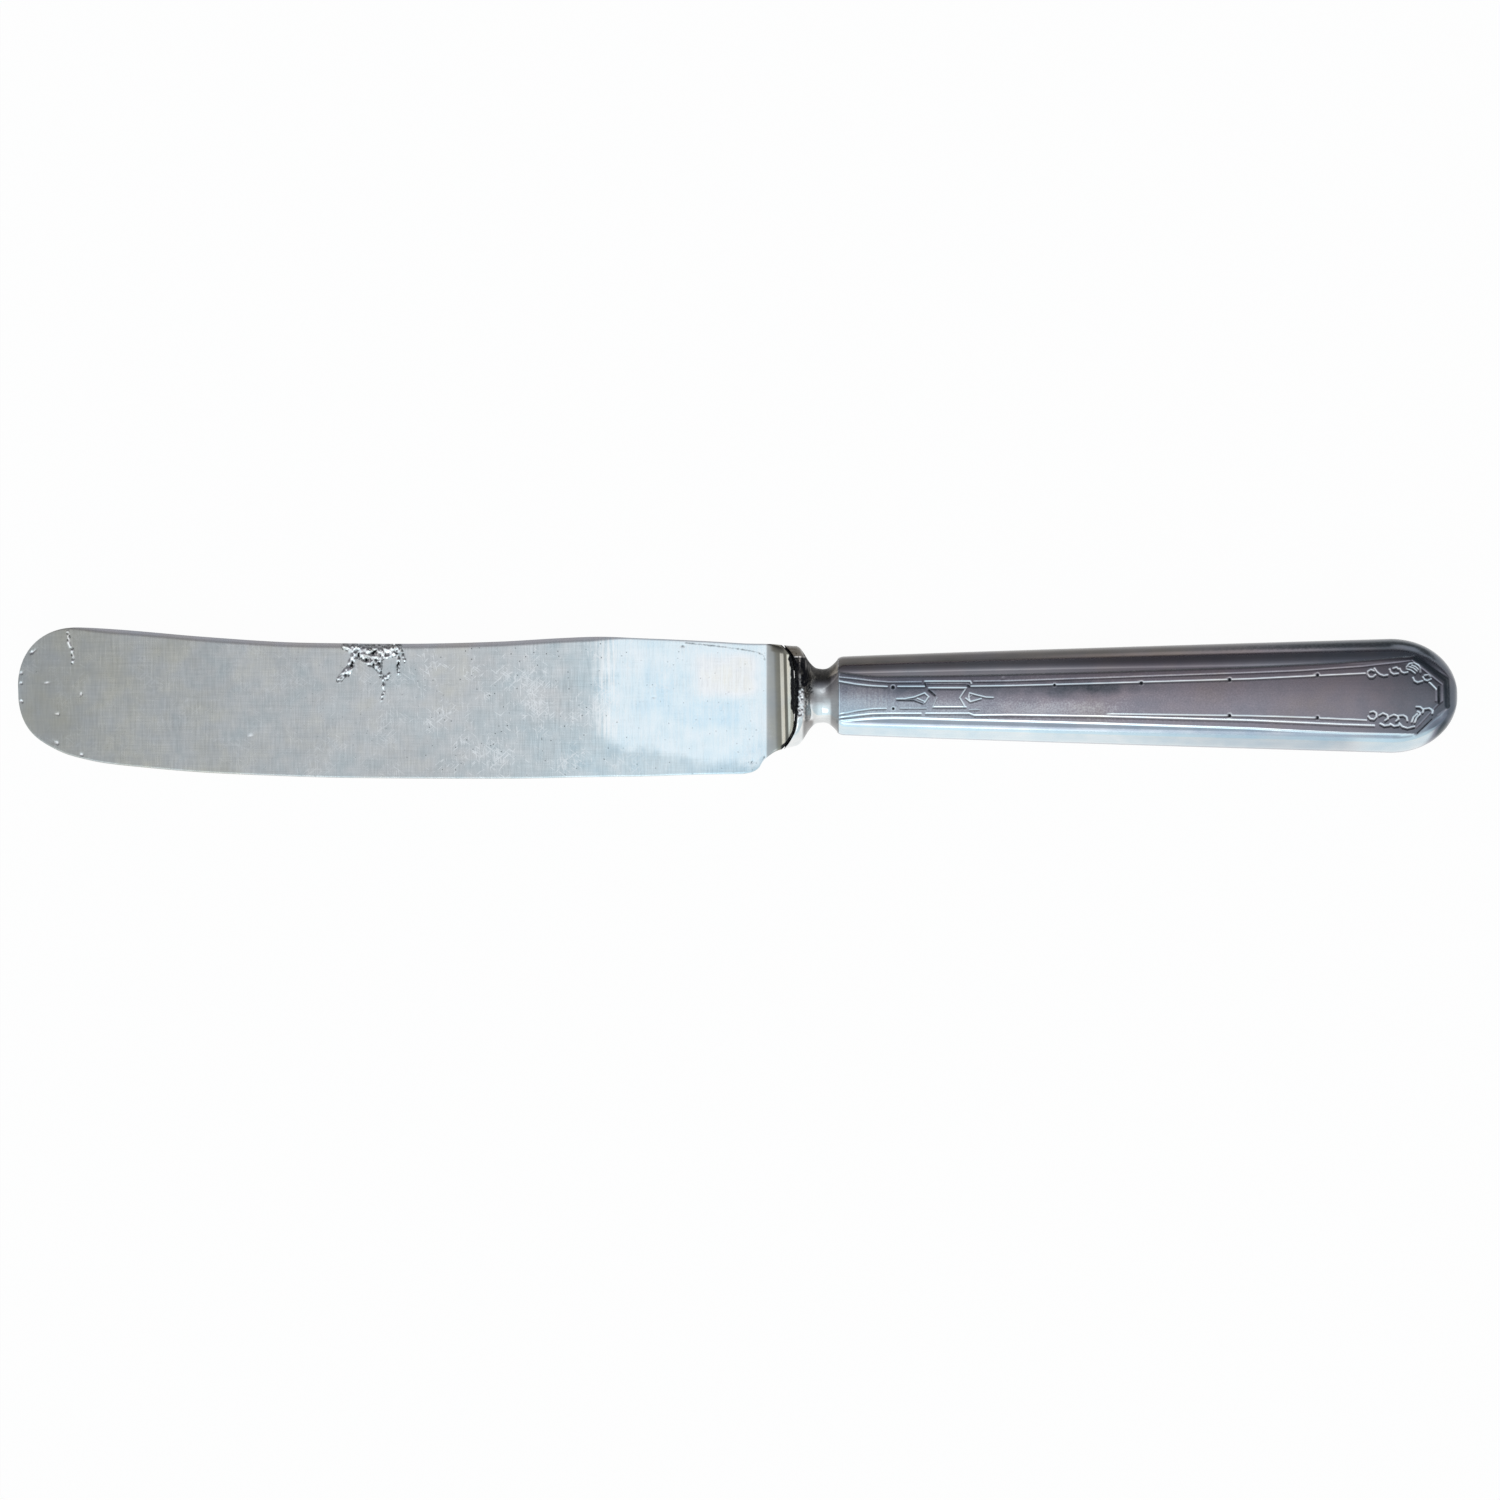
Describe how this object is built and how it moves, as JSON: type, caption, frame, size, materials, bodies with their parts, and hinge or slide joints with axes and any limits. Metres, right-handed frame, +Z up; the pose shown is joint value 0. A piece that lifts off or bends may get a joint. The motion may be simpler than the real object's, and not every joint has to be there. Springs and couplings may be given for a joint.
{
  "type": "table knife",
  "caption": "Hollow-handle table knife, silver plated: broad round-tipped blade, waisted bolster and a handle of two pressed shells filled with cement",
  "frame": {"origin": "middle of the flat land under the bolster, which the knife rests on when it lies on its side", "axes": "+X to the butt of the handle, +Y to the back of the blade, +Z up through the upper face"},
  "size_m": [0.2412, 0.0253, 0.0106],
  "materials": {
    "plated_steel": "worn silver plate on steel, softly polished, scratched and lightly pitted",
    "plated_bolster": "tarnished silver plate, satin, pitted at the joint",
    "dark_solder": "corroded and pitted solder line",
    "soft_solder": "dull grey solder",
    "handle_plate": "silver plate on nickel silver, bright sides and dull tarnished faces with engraved borders",
    "cement": "dull resin cement with brick dust"
  },
  "bodies": {
    "root": {"blade": "plated_steel", "blade_solder": "dark_solder", "bolster": "plated_bolster", "mouth_solder": "soft_solder", "handle_front_shell": "handle_plate", "handle_back_shell": "handle_plate", "seam_solder": "soft_solder", "handle_cement": "cement"}
  },
  "joints": []
}
